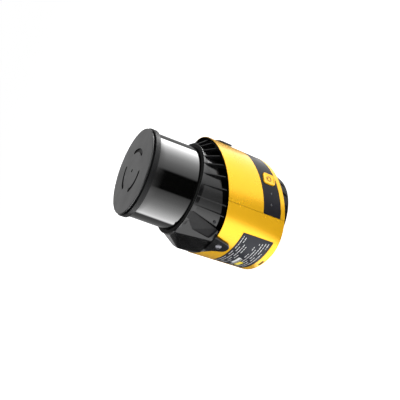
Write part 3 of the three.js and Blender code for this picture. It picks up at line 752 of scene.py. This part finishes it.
def make_window_seal():
    outline = rounded([(THROAT_R, SEAL_REAR), (SEAL_R, SEAL_REAR), (SEAL_R - 0.7, SEAL_FRONT, 0.9),
                       (THROAT_R, SEAL_FRONT, 0.5)])
    make_piece("window_gasket", [lathe(outline)], "seal_rubber", "window_seal")


# ---------------------------------------- front frame

def frame_rings():
    flange = rounded([(FLANGE_R, FLANGE_Z, 0.5), (FLANGE_R, LEDGE_REAR), (40.5, LEDGE_REAR),
                      (40.5, LEDGE_FRONT), (THROAT_R, LEDGE_FRONT), (THROAT_R, FLANGE_Z)])
    ramps = [(FLANGE_R - 0.6, FLANGE_Z - 0.2), (RAMP_END_R, RAMP_END_Z), (RAMP_END_R - 2, RAMP_END_Z),
             (FLANGE_R - 2, FLANGE_Z - 2.6)]
    band = rounded([(54.6, BAND_FRONT), (57.5, BAND_FRONT), (57.5, BAND_REAR), (54.6, BAND_REAR)])
    return lathe(flange), lathe(ramps, warp=swept_frame), lathe(band, warp=swept)


def frame_rib(degrees):
    """One fin in the plane of the axis, from the flange to under the shell's front edge."""
    edge = edge_at(degrees)
    turned = at(1, degrees, 0)
    root = ramp_end(turned.x, turned.y) - 1.6
    outline = [(48.2, 106.6), (49.9, 107), (RIB_END_R, edge + 0.5), (RIB_END_R, edge - 8),
               (54.9, edge - 8), (root, edge + 4.5), (48.2, 104.4)]
    plate = prism(outline, -RIB_THICK / 2, RIB_THICK / 2)
    upright = Matrix(((1, 0, 0, 0), (0, 0, -1, 0), (0, 1, 0, 0), (0, 0, 0, 1)))
    return softened(placed(plate, turned_by(degrees) @ upright), 0.22)


def hull(points):
    work = bmesh.new()
    for point in points:
        work.verts.new(point)
    result = bmesh.ops.convex_hull(work, input=work.verts)
    spare = result["geom_interior"] + result["geom_unused"]
    inside = {vertex for vertex in spare if isinstance(vertex, bmesh.types.BMVert)}
    bmesh.ops.delete(work, geom=list(inside), context="VERTS")
    bmesh.ops.dissolve_limit(work, angle_limit=math.radians(1), verts=work.verts, edges=work.edges)
    work.verts.index_update()
    corners = [vertex.co.copy() for vertex in work.verts]
    faces = [tuple(vertex.index for vertex in face.verts) for face in work.faces]
    work.free()
    return corners, faces


def both_sides(points):
    return points + [Vector((point.x, -point.y, point.z)) for point in points]


def mirrored(shape):
    return placed(shape, Matrix.Diagonal((1, -1, 1, 1)))


def frame_chin():
    """Solid underside: it widens from the flange to the shell and ends in a ridge to each lug."""
    side = [at(49.4, 108, 107.2), at(52, 145, 107.3), at(50.6, 165, 104), at(60.3, 174, 88),
            at(58.4, 117.5, 72.9), at(62.6, 127.5, 72.9), at(62.4, 151, 72.9), at(60.8, 165, 72.9),
            at(48, 109, 104), at(56, 118, 70), at(58, 150, 70)]
    return softened(hull(both_sides(side)), 0.45, sharp=8)


def chin_pocket():
    """Pocket in the chin's upper facet, from the flange to the shell: (degrees, z, floor radius)."""
    corners = [(109, 106.4, 48.3), (119.5, 105.8, 48.9), (129.5, 95.5, 52.8), (127.6, 79, 58.2),
               (117.4, 74.4, 55)]
    return hull([at(r + out, degrees, z) for degrees, z, r in corners for out in (0, 9)])


def lug_tongue():
    """Flat tongue that lies over the outside of the shell and takes the screw."""
    tip = LUG_TIP_Z + LUG_TIP_R

    def outline(inset):
        points = [(-LUG_HALF_WIDTH + inset, 75), (-LUG_HALF_WIDTH + inset, SHELL_FRONT)]
        points += [((LUG_TIP_R - inset) * math.cos(math.radians(a)), tip + (LUG_TIP_R - inset) * math.sin(
            math.radians(a))) for a in range(196, 345, 6)]
        points += [(LUG_HALF_WIDTH - inset, SHELL_FRONT), (LUG_HALF_WIDTH - inset, 75)]
        return points

    return placed(eased_plate(outline, 54, LUG_FACE, 0.9), facing_out(LUG_ANGLE, 0))


def lug_web():
    """Low web that widens the root of each tongue on its underside."""
    corners = [(62.4, 151, 74.5), (62.5, 142.5, 66.8), (62.7, 137, 63.2), (62.8, 131, 64),
               (62.8, 127.5, 74.5)]
    return softened(hull([at(r - inset, degrees, z) for r, degrees, z in corners for inset in (0, 5)]), 0.5)


def is_within(shape, point, slack=0.05):
    """True for a point, in millimetres, inside a convex shape or on its skin."""
    corners, faces = shape
    middle = sum(corners, Vector()) / len(corners)
    for face in faces:
        first = corners[face[0]]
        normal = (corners[face[1]] - first).cross(corners[face[2]] - first).normalized()
        if normal.dot(middle - first) > 0:
            normal.negate()
        if normal.dot(point - first) > slack:
            return False
    return True


def repaint(obj, finish, chosen):
    """Gives a second finish to the faces that chosen(centre in millimetres, normal) picks."""
    obj.data.materials.append(finish)
    for face in obj.data.polygons:
        if chosen(face.center / MM, face.normal):
            face.material_index = 1


def make_frame():
    flange, ramps, band = frame_rings()
    ribs = [frame_rib(side * angle) for angle in RIB_ANGLES for side in (1, -1)]
    hollow = lathe([(0, 60), (54.2, 60), (52.2, 76), (THROAT_R, 101.5), (THROAT_R, LEDGE_REAR),
                    (0, LEDGE_REAR)])
    well = rod(THROAT_R, LEDGE_REAR - 0.1, 112, count=STEPS)
    clear = SHELL_R + GAP
    housing = lathe([(0, 30), (clear, 30), (clear, SHELL_FRONT + GAP), (0, SHELL_FRONT + GAP)], warp=swept)
    pockets = [chin_pocket(), mirrored(chin_pocket())]
    casting = new_object("frame_casting", [frame_chin()])
    for part in (lug_web(), lug_tongue()):
        combine(casting, [part], "UNION")
        combine(casting, [mirrored(part)], "UNION")
    for tool in ([hollow], [well], [housing], pockets):
        combine(casting, tool)
    for part in ([flange], [ramps], [band], ribs):
        combine(casting, part, "UNION")
    holes = [drill(SCREW_SHANK_R + GAP, side * LUG_ANGLE, LUG_SCREW_Z) for side in (1, -1)]
    holes += [drill(0.9, side * ARM_SCREW_ANGLE, ARM_SCREW_Z, 46, 60) for side in (1, -1)]
    combine(casting, holes)
    finish_piece(casting, "frame_black", "front_frame", sharp=14)
    # Painted shade: the pockets in the frame take a duller black.
    repaint(casting, recess_shade_black(),
            lambda centre, normal: any(is_within(pocket, centre) for pocket in pockets))


def make_lug_screw(name, node, degrees):
    """Domed screw with a hex recess."""
    dome = rounded([(0, 2.0, 0), (1.9, 1.75, 0.8), (3.4, 0.75, 0.8), (3.7, 0, 0.2), (1.4, 0, 0),
                    (1.4, -8, 0.3), (0, -8, 0)])
    place = facing_out(degrees, LUG_SCREW_Z, LUG_FACE + GAP)
    screw = new_bolt(name, dome, rod(0.95, 1.1, 4, count=6), place)
    finish_piece(screw, "dark_steel", node)


def make_arm_screw(name, node, degrees):
    """Small flat screw beside a lug's arm."""
    head = rounded([(0, 0.7, 0), (1.5, 0.7, 0.2), (1.5, 0, 0.1), (0.6, 0, 0), (0.6, -3.4, 0.2),
                    (0, -3.4, 0)])
    place = facing_out(degrees, ARM_SCREW_Z, ARM_SCREW_R + GAP)
    screw = new_bolt(name, head, rod(0.75, 0.3, 2, count=6), place)
    finish_piece(screw, "dark_steel", node, finish=black_oxide())


# ---------------------------------------- housing

def shade_inside_black(shell):
    """Painted shade: what faces the axis gets the frame's black, standing for the shade inside the housing;
    the yellow stops at the rim.
    """
    repaint(shell, FINISHES["frame_black"], lambda centre, normal: (
        centre.xy.length < SHELL_R - SHELL_RIM + 0.05 and normal.xy.dot(centre.xy) < 0))


def button_opening(spare):
    outline = rounded_rectangle(BUTTON_WIDE + spare * 2, BUTTON_LONG + spare * 2, BUTTON_CORNER + spare)
    return placed(prism(outline, CUT_FROM, CUT_TO), facing_out(BUTTON_ANGLE, BUTTON_Z))


def lamp_openings():
    return [drill(LAMP_R + GAP, angle, z) for angle, z in LAMPS]


def pad_screw_places():
    return PAD_Z - PAD_SCREW_PITCH / 2, PAD_Z + PAD_SCREW_PITCH / 2


def parting_angle(radius, offset):
    return math.degrees(math.acos((PARTING_X + offset) / radius))


def make_upper_shell():
    floor = SHELL_R - PANEL_POCKET
    outline = rounded([(SHELL_BORE, SHELL_REAR), (SHELL_R, SHELL_REAR, 0.8), (SHELL_R, PANEL_REAR, 0.25),
                       (floor, PANEL_REAR, 0.15), (floor, PANEL_FRONT, 0.15), (SHELL_R, PANEL_FRONT, 0.25),
                       (SHELL_R, SHELL_FRONT, 0.25), (SHELL_R - SHELL_RIM, SHELL_FRONT, 0.1),
                       (SHELL_BORE, SHELL_FRONT - 5)])
    half = parting_angle(SHELL_R, GAP / 2)
    shell = new_object("upper_cover", [lathe(outline, 150, (-half, half), swept)])
    pad_holes = [drill(SCREW_SHANK_R + GAP, 0, z) for z in pad_screw_places()]
    combine(shell, [button_opening(0.35), *lamp_openings(), *pad_holes])
    finish_piece(shell, "shell_yellow", "upper_shell")
    # Painted shade: the inside of the upper shell is black.
    shade_inside_black(shell)


def make_lower_shell():
    outline = rounded([(SHELL_BORE, SHELL_REAR), (SHELL_R, SHELL_REAR, 0.8), (SHELL_R, SHELL_FRONT, 0.25),
                       (SHELL_R - SHELL_RIM, SHELL_FRONT, 0.1), (SHELL_BORE, SHELL_FRONT - 5)])
    half = parting_angle(SHELL_R, -GAP / 2)
    shell = new_object("lower_cover", [lathe(outline, 210, (half, 360 - half), swept)])
    pocket = rounded([(SHELL_R - LABEL_POCKET, LABEL_REAR - GAP), (SHELL_R + 4, LABEL_REAR - GAP),
                      (SHELL_R + 4, LABEL_FRONT + GAP), (SHELL_R - LABEL_POCKET, LABEL_FRONT + GAP)], 0)
    slot = placed(prism(rounded_rectangle(9, 2.4, 0.8), CUT_FROM, CUT_TO), facing_out(PLUG_ANGLE, PLUG_Z))
    holes = [drill(SCREW_SHANK_R + GAP, side * LUG_ANGLE, LUG_SCREW_Z) for side in (1, -1)]
    combine(shell, [lathe(pocket, 60, (LABEL_FROM - 0.3, LABEL_TO + 0.3)), slot, *holes])
    finish_piece(shell, "shell_yellow", "lower_shell")
    # Painted shade: the inside of the lower shell is black.
    shade_inside_black(shell)


def make_panel():
    inner = SHELL_R - PANEL_POCKET + GAP
    outline = rounded([(inner, PANEL_REAR + GAP), (SHELL_R - 0.1, PANEL_REAR + GAP, 0.35),
                       (SHELL_R - 0.1, PANEL_FRONT - GAP, 0.35), (inner, PANEL_FRONT - GAP)])
    half = parting_angle(SHELL_R, GAP * 1.5)
    panel = new_object("panel_band", [lathe(outline, 150, (-half, half), swept)])
    combine(panel, [button_opening(0.35), *lamp_openings()])
    finish_piece(panel, "panel_dark", "control_panel")


def make_button():
    """Yellow key with a dished face and a raised ring-and-bar sign."""

    def outline(inset):
        return rounded_rectangle(BUTTON_WIDE - inset * 2, BUTTON_LONG - inset * 2,
                                 BUTTON_CORNER - inset * 0.8)

    insets = [-1, -1, 0, 0, 0.12, 0.4, 1.2, 1.5, 2.6]
    drops = [6.1, 4.9, 4.8, 0.5, 0.18, 0, 0, 0.22, 0.5]
    key = placed(loft([outline(i) for i in insets], [BUTTON_TOP - d for d in drops]),
                 facing_out(BUTTON_ANGLE, BUTTON_Z))
    make_piece("button_key", [key], "shell_yellow", "power_button", "button")
    face = BUTTON_TOP - 0.5
    bar = prism(rounded_rectangle(0.7, 2.4, 0.3), face - 0.1, face + 0.3)
    sign = [arc_groove(2.3, 3.0, 120, 420, face - 0.1, face + 0.3),
            placed(bar, Matrix.Translation((0, 2.3, 0)))]
    ink = printed_ink("button_ink", (0.16, 0.075, 0.004))
    make_piece("button_sign", [placed(part, facing_out(BUTTON_ANGLE, BUTTON_Z)) for part in sign],
               "shell_yellow", body="button", finish=ink)


def make_lamps():
    for number, (angle, z) in enumerate(LAMPS, 1):
        dome = rounded([(0, SHELL_R - 0.2, 0), (LAMP_R, SHELL_R - 0.3, 0.35), (LAMP_R, 56), (0, 56, 0)])
        lens = placed(lathe(dome, 32), facing_out(angle, z))
        make_piece(f"lamp_lens_{number}", [lens], "lamp_clear", f"status_lamp_{number}")


def label_patch(low, high, z0, z1):
    """A thin printed patch on the label, between two angles and two heights."""
    inner = SHELL_R - 0.06
    outer = LABEL_FACE + INK
    outline = [(inner, z0), (outer, z0), (outer, z1), (inner, z1)]
    return lathe(outline, max(2, int(abs(high - low) / 1.5)), (low, high))


def label_rows():
    """Rows of plain dashes that stand for small print, in two blocks; no letters."""
    rows = []
    for row, (place, top) in enumerate(LABEL_ROWS):
        z = LABEL_FRONT - place
        angle = LABEL_FROM + 2.5
        dash = 0
        while angle < top - 1:
            length = 1.6 + 3.2 * (math.sin(row * 7.3 + dash * 3.1) + 1) / 2
            dash += 1
            if math.sin(row * 2.7 + dash * 1.9) > -0.8:
                rows.append(label_patch(angle, min(angle + length, top), z, z + 0.75))
            angle += length + 0.7
    return rows


def make_label():
    back = SHELL_R - LABEL_POCKET + GAP
    plate = rounded([(back, LABEL_REAR), (LABEL_FACE, LABEL_REAR, 0.15),
                     (LABEL_FACE, LABEL_FRONT, 0.15), (back, LABEL_FRONT)], 0.05)
    make_piece("label_plate", [lathe(plate, 60, (LABEL_FROM, LABEL_TO))], "label_slate", "rating_label")
    white = printed_ink("label_white", (0.56, 0.57, 0.58))
    yellow = printed_ink("label_yellow", (0.8, 0.62, 0.02))
    make_piece("label_print", label_rows(), "label_slate", finish=white)
    make_piece("label_white_block", [label_patch(*WHITE_BLOCK)], "label_slate", finish=white)
    make_piece("label_yellow_block", [label_patch(*YELLOW_BLOCK)], "label_slate", finish=yellow)


def make_plug():
    def outline(inset):
        return rounded_rectangle(8.4 - inset * 2, 1.8 - inset * 2, 0.5 - inset * 0.5)

    flap = placed(eased_plate(outline, 57.4, SHELL_R - 0.3, 0.3), facing_out(PLUG_ANGLE, PLUG_Z))
    make_piece("plug_flap", [flap], "seal_rubber", "rear_plug")


def make_mount_pad():
    def outline(inset):
        return rounded_rectangle(PAD_WIDE - inset * 2, PAD_LONG - inset * 2, 3 - inset * 0.8)

    plate = placed(eased_plate(outline, 58, PAD_FACE, 0.35), facing_out(0, PAD_Z))
    pad = new_object("carrier_pad", [plate])
    seat = rod(SHELL_R + GAP, 60, 100, count=STEPS)
    holes = [drill(SCREW_SHANK_R + GAP, 0, z) for z in pad_screw_places()]
    sinks = [drill(2.9, 0, z, PAD_FACE - PAD_SINK, count=32) for z in pad_screw_places()]
    for tools in ([seat], holes, sinks):
        combine(pad, tools)
    finish_piece(pad, "frame_black", "mount_pad")


def make_pad_screws():
    head = rounded([(0, 0, 0), (2.6, 0, 0.25), (2.6, -0.4, 0.05), (1.4, -0.4, 0), (1.4, -7, 0.3),
                    (0, -7, 0)])
    for number, z in enumerate(pad_screw_places(), 1):
        place = facing_out(0, z, PAD_FACE)
        along, across = [prism(rounded_rectangle(*size, 0.1, 2), -0.3, 1)
                         for size in ((2.6, 0.5), (0.5, 2.6))]
        screw = new_bolt(f"pad_bolt_{number}", head, along, place)
        combine(screw, [placed(across, place)])
        finish_piece(screw, "steel", f"pad_screw_{number}")


# ---------------------------------------- rear

def make_rear_cap():
    rim = REAR_DISC_R + REAR_FLARE
    dish = rounded([(0, 0, 0), (REAR_DISC_R, 0, 1.4), (rim, 6.2), (rim, 8.1), (55.4, 8.1),
                    (47.6, REAR_PLATE), (0, REAR_PLATE, 0)])
    cap = new_object("rear_cover", [lathe(dish, warp=swept_rear)])
    slots = [placed(block((49.9, -1.7, -1), (55.1, 1.7, 60)), turned_by((i + 0.5) * 360 / REAR_SLOTS))
             for i in range(REAR_SLOTS)]
    grille = [arc_groove(inner, outer, angle + 13, angle + 77, -1, 5)
              for inner, outer in ((11, 14.5), (16.5, 20)) for angle in (0, 90, 180, 270)]
    sockets = [rod(7.4, -1, 5, -SOCKET_R), rod(4.6, -1, 5, SOCKET_R)]
    seats = [at(SOCKET_R, angle, 0) for angle in REAR_SCREW_ANGLES]
    holes = [rod(SCREW_SHANK_R + GAP, -1, 5, seat.x, seat.y, 24) for seat in seats]
    sinks = [rod(3.1, -1, 1.9, seat.x, seat.y, 32) for seat in seats]
    for tools in ([*slots, *grille, *sockets, *holes], sinks):
        combine(cap, tools)
    finish_piece(cap, "frame_black", "rear_cap", finish=rear_black())


def make_dust_screen():
    """Foam ring inside the rear cap, behind its slots."""
    outline = [(49.2, 4.7), (55.2, 8.3), (55.2, 9), (49.2, 5.4)]
    make_piece("dust_screen", [lathe(outline, warp=swept_rear)], "seal_rubber")


def make_rear_screws():
    head = rounded([(0, 0.3, 0), (2.7, 0.3, 0.3), (2.7, 1.6), (1.4, 1.6, 0), (1.4, 9, 0.3), (0, 9, 0)])
    for number, angle in enumerate(REAR_SCREW_ANGLES, 1):
        place = Matrix.Translation(at(SOCKET_R, angle, 0))
        screw = new_bolt(f"rear_bolt_{number}", head, rod(1.2, -1, 1, count=6), place)
        finish_piece(screw, "steel", f"rear_screw_{number}")


# ---------------------------------------- CAD nodes that stay as they are

def dress_cad_nodes():
    """Every CAD node that still shows gets its slot's finish, and its edges eased by modifiers."""
    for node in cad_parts.values():
        if node.hide_render:
            continue
        slot = node.data.materials[0].name.split(".")[0]
        node.data.materials.clear()
        node.data.materials.append(FINISHES[slot])
        normals = node.data.attributes.get("custom_normal")
        if normals:
            node.data.attributes.remove(normals)
        node.data.shade_smooth()
        weld = node.modifiers.new("weld", "WELD")
        weld.merge_threshold = 1e-6
        flats = node.modifiers.new("flats", "DECIMATE")
        flats.decimate_type = "DISSOLVE"
        flats.angle_limit = math.radians(1)
        ease = node.modifiers.new("eased_edges", "BEVEL")
        ease.width = 0.25 * MM
        ease.segments = 2
        ease.limit_method = "ANGLE"
        ease.angle_limit = math.radians(32)
        ease.harden_normals = True


# ---------------------------------------- stage

DOME_R = 2.0
CARD_R = 0.3
BRIGHTEST = 14.0
# Brightness round the axis, as pairs of bearing (degrees from -Y towards +X) and share of BRIGHTEST.
LOW_BANDS = ((-180, 0.03), (-113, 0.03), (-106, 0.66), (-83, 0.5), (-62, 0.29), (-41, 0.15), (-20.5, 0.07),
             (-17, 0.0), (29, 0.0), (34, 0.1), (53, 0.19), (74, 0.35), (94, 0.65), (110, 0.92), (126, 0.85),
             (131, 0.035), (180, 0.03))
HIGH_BANDS = ((-180, 0.055), (-160, 0.05), (-145, 0.01), (-120, 0.0), (-88, 0.0), (-76, 0.16),
              (-50, 0.19), (-36, 0.19), (-16, 0.075), (0, 0.045), (14, 0.04), (28, 0.1), (50, 0.125),
              (60, 0.1), (75, 0.02), (110, 0.03), (150, 0.05), (180, 0.055))
CARD_BANDS = ((-180, 0.01), (-68, 0.01), (-58, 0.17), (-45, 0.2), (-24, 0.2), (-15, 0.0), (18, 0.0),
              (30, 0.11), (55, 0.14), (80, 0.17), (112, 0.2), (120, 0.03), (180, 0.01))


def banded(tree, bearing, bands):
    """Colour ramp of grey levels round the axis."""
    ramp = tree.nodes.new("ShaderNodeValToRGB")
    tree.links.new(maths(tree, "MULTIPLY_ADD", bearing, 1 / math.tau, 0.5), ramp.inputs["Fac"])
    stops = ramp.color_ramp.elements
    while len(stops) < len(bands):
        stops.new(0.5)
    for stop, (degrees, value) in zip(stops, bands):
        stop.position = degrees / 360 + 0.5
        stop.color = (value, value, value, 1)
    return ramp.outputs["Color"]


def studio_material(name, low_bands, high_bands=None):
    """Light that changes with the bearing and, where there are high bands, with the height."""
    made = bpy.data.materials.new(name)
    made.use_nodes = True
    tree = made.node_tree
    tree.nodes.clear()
    source = tree.nodes.new("ShaderNodeTexCoord")
    parts = tree.nodes.new("ShaderNodeSeparateXYZ")
    tree.links.new(source.outputs["Object"], parts.inputs["Vector"])
    bearing = maths(tree, "ARCTAN2", parts.outputs["X"], maths(tree, "MULTIPLY", parts.outputs["Y"], -1.0))
    colour = banded(tree, bearing, low_bands)
    if high_bands:
        height = spread(tree, parts.outputs["Z"], 0, 1, -0.275 * DOME_R, -0.245 * DOME_R)
        colour = blend_colours(tree, height, colour, banded(tree, bearing, high_bands))
    light = tree.nodes.new("ShaderNodeEmission")
    tree.links.new(colour, light.inputs["Color"])
    light.inputs["Strength"].default_value = BRIGHTEST
    output = tree.nodes.new("ShaderNodeOutputMaterial")
    tree.links.new(light.outputs["Emission"], output.inputs["Surface"])
    return made


def stage_object(name, work, material, height):
    """Something of the stage, not of the part."""
    mesh = bpy.data.meshes.new(name)
    work.to_mesh(mesh)
    work.free()
    mesh.materials.append(material)
    made = bpy.data.objects.new(name, mesh)
    made.location.z = height
    link(made)
    return made


def add_studio(name, work, material, height):
    """A light shape that only glossy surfaces see."""
    made = stage_object(name, work, material, height)
    made.visible_camera = False
    made.visible_diffuse = False
    made.visible_transmission = False
    made.visible_shadow = False


def make_studio():
    """A banded dome round the part, and a banded card that it stands on."""
    dome = bmesh.new()
    bmesh.ops.create_uvsphere(dome, u_segments=96, v_segments=48, radius=DOME_R)
    add_studio("studio_dome", dome, studio_material("dome_bands", LOW_BANDS, HIGH_BANDS), cad_high.z * 0.6)
    card = bmesh.new()
    bmesh.ops.create_circle(card, cap_ends=True, segments=64, radius=CARD_R)
    add_studio("studio_card", card, studio_material("card_bands", CARD_BANDS), cad_low.z - 0.0001)


def make_floor():
    """Pale seamless floor, bright enough to read as plain white."""
    made, _, shader = new_material("floor_white")
    finish_sockets(shader, Base_Color=(0.9, 0.9, 0.9, 1), Roughness=0.9, Emission_Color=(1, 1, 1, 1),
                   Emission_Strength=1.0, Specular_IOR_Level=0.0)
    work = bmesh.new()
    bmesh.ops.create_grid(work, x_segments=8, y_segments=8, size=30)
    floor = stage_object("floor", work, made, cad_low.z - 0.0002)
    floor.visible_glossy = False


def make_world():
    world = bpy.data.worlds.new("white_room")
    bpy.context.scene.world = world
    world.use_nodes = True
    background = world.node_tree.nodes["Background"]
    background.inputs["Color"].default_value = (1, 1, 1, 1)
    background.inputs["Strength"].default_value = 1.0
    world.cycles_visibility.diffuse = False
    world.cycles_visibility.glossy = False


def softbox(name, place, size, power):
    """A square area light aimed at the middle of the part."""
    data = bpy.data.lights.new(name, "AREA")
    data.size = size
    data.energy = power
    light = bpy.data.objects.new(name, data)
    middle = Vector((0, 0, cad_high.z / 2))
    light.location = Vector(place)
    light.rotation_euler = (middle - light.location).to_track_quat("-Z", "Y").to_euler()
    light.visible_glossy = False
    link(light)


def make_lights():
    softbox("upper_box", (0.9, -0.5, 0.5), 0.5, 3)
    softbox("lower_box", (-0.5, -0.95, 0.3), 0.4, 6)
    softbox("front_box", (0.0, -0.6, 1.1), 0.6, 2.5)
    softbox("far_box", (0.5, 0.9, 0.6), 0.8, 6)


# ---------------------------------------- building it

make_camera()
make_world()
make_studio()
make_floor()
make_lights()

make_cap()
make_cap_ring()
make_window()
make_window_seal()
make_frame()
make_lug_screw("lug_bolt_left", "lug_screw_left", -LUG_ANGLE)
make_lug_screw("lug_bolt_right", "lug_screw_right", LUG_ANGLE)
make_arm_screw("arm_bolt_left", "frame_screw_left", -ARM_SCREW_ANGLE)
make_arm_screw("arm_bolt_right", "frame_screw_right", ARM_SCREW_ANGLE)

make_upper_shell()
make_lower_shell()
make_panel()
make_button()
make_lamps()
make_label()
make_plug()
make_mount_pad()
make_pad_screws()

make_rear_cap()
make_dust_screen()
make_rear_screws()
dress_cad_nodes()

bpy.context.scene.view_settings.view_transform = "Standard"
